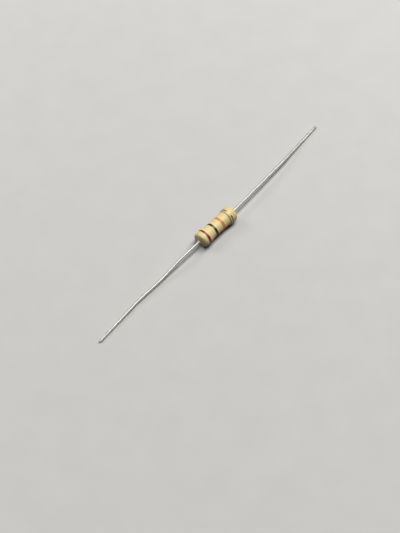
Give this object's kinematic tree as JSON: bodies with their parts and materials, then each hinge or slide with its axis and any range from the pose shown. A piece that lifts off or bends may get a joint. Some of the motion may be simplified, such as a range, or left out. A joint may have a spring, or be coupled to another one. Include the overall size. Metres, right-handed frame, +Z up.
{
  "type": "axial resistor",
  "caption": "Carbon-film axial resistor with a beige lacquered dog-bone body, painted colour bands and slightly bent tinned wire leads, lying as dropped on a bench.",
  "frame": {"origin": "on the surface that the resistor lies on, under the middle of its body", "axes": "+X runs along the body's axis towards the gold band, +Y is level and across the body, and +Z is up, out of the surface that it lies on"},
  "size_m": [0.0655, 0.0042, 0.0033],
  "materials": {
    "ceramic": "unglazed white ceramic",
    "carbon": "thin grey-black carbon film",
    "cap_steel": "tin-plated pressed steel",
    "tinned_wire": "bright tinned copper wire",
    "lacquer": "beige lacquer with a soft sheen",
    "red_paint": "dark red band paint",
    "black_paint": "black band paint",
    "orange_paint": "orange band paint",
    "gold_paint": "dull gold band paint"
  },
  "bodies": {
    "root": {"ceramic_rod": "ceramic", "carbon_film": "carbon", "left_end_cap": "cap_steel", "right_end_cap": "cap_steel", "left_lead": "tinned_wire", "right_lead": "tinned_wire", "coating": "lacquer", "red_band": "red_paint", "black_band": "black_paint", "orange_band": "orange_paint", "gold_band": "gold_paint"}
  },
  "joints": []
}
